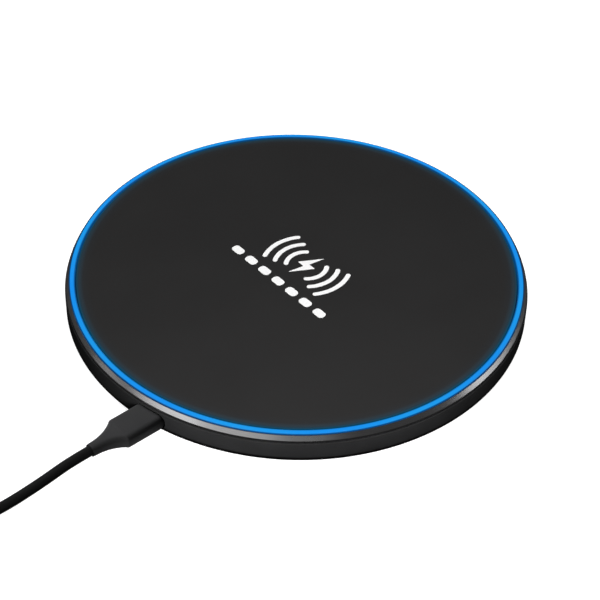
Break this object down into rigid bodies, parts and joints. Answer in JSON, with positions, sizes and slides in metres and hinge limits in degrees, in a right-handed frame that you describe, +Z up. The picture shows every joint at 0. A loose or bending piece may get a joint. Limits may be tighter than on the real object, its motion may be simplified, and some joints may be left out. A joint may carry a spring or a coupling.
{
  "type": "wireless charging pad",
  "caption": "Thin round wireless charging pad with a satin top, blue light ring, chamfered metal rim and a plug-in side cable wound in a coil.",
  "frame": {"origin": "centre of the pad's underside, on the plane of the feet's soles", "axes": "+Z up out of the charging face, -Y towards the cable port, +X to the right of the printed mark as it reads"},
  "size_m": [0.121, 0.1856, 0.0078],
  "materials": {
    "base_black": "fine spark-eroded texture",
    "frame_grey": "matt moulded",
    "trim_aluminium": "bright turned chamfer",
    "light_guide_blue": "milky translucent, lit blue",
    "panel_satin": "soft satin",
    "adhesive": "thin double-sided tape",
    "silicone": "matt",
    "screw_steel": "black nickel",
    "label_grey": "blank printed film",
    "copper_litz": "enamelled copper strands",
    "ferrite": "matt sintered",
    "foam": "open-cell foam",
    "pcb_green": "solder mask",
    "tin_shell": "plated, drawn",
    "contact_plastic": "glass-filled",
    "chip_black": "moulded epoxy",
    "capacitor_tan": "fired",
    "inductor_grey": "pressed powder",
    "led_white": "clear dome over white case",
    "board_white": "white solder mask",
    "plug_black": "soft-touch moulded",
    "cable_black": "extruded soft jacket",
    "tie_black": "hook and loop"
  },
  "bodies": {
    "pad": {"base_shell": "base_black", "mid_frame": "frame_grey", "bezel_trim": "trim_aluminium", "light_guide_ring": "light_guide_blue", "top_panel": "panel_satin", "panel_adhesive_ring": "adhesive", "foot_1": "silicone", "foot_2": "silicone", "foot_3": "silicone", "foot_4": "silicone", "case_screw_1": "screw_steel", "case_screw_2": "screw_steel", "case_screw_3": "screw_steel", "case_screw_4": "screw_steel", "rating_label": "label_grey", "foam_pad": "foam", "ferrite_disc": "ferrite", "transmit_coil": "copper_litz", "coil_tape": "adhesive", "thermistor": "chip_black", "main_board": "pcb_green", "controller_chip": "chip_black", "power_switch_1": "chip_black", "power_switch_2": "chip_black", "resonant_capacitor_1": "capacitor_tan", "resonant_capacitor_2": "capacitor_tan", "resonant_capacitor_3": "capacitor_tan", "resonant_capacitor_4": "capacitor_tan", "filter_inductor": "inductor_grey", "led_board": "board_white", "led_1": "led_white", "led_2": "led_white", "led_3": "led_white", "led_4": "led_white", "led_5": "led_white", "led_6": "led_white", "led_7": "led_white", "led_8": "led_white", "port_shell": "tin_shell", "port_tongue": "contact_plastic"},
    "cable": {"plug_shell": "tin_shell", "plug_insert": "contact_plastic", "plug_moulding": "plug_black", "cable_lead": "cable_black", "cable_tail": "cable_black", "cable_coil": "cable_black", "cable_tie": "tie_black", "usb_a_moulding": "plug_black", "usb_a_shell": "tin_shell", "usb_a_insert": "contact_plastic"}
  },
  "joints": [
    {"name": "plug_slide", "type": "slide", "parent": "pad", "child": "cable", "axis": [0, -1, 0], "range_m": [0, 0.01]}
  ]
}
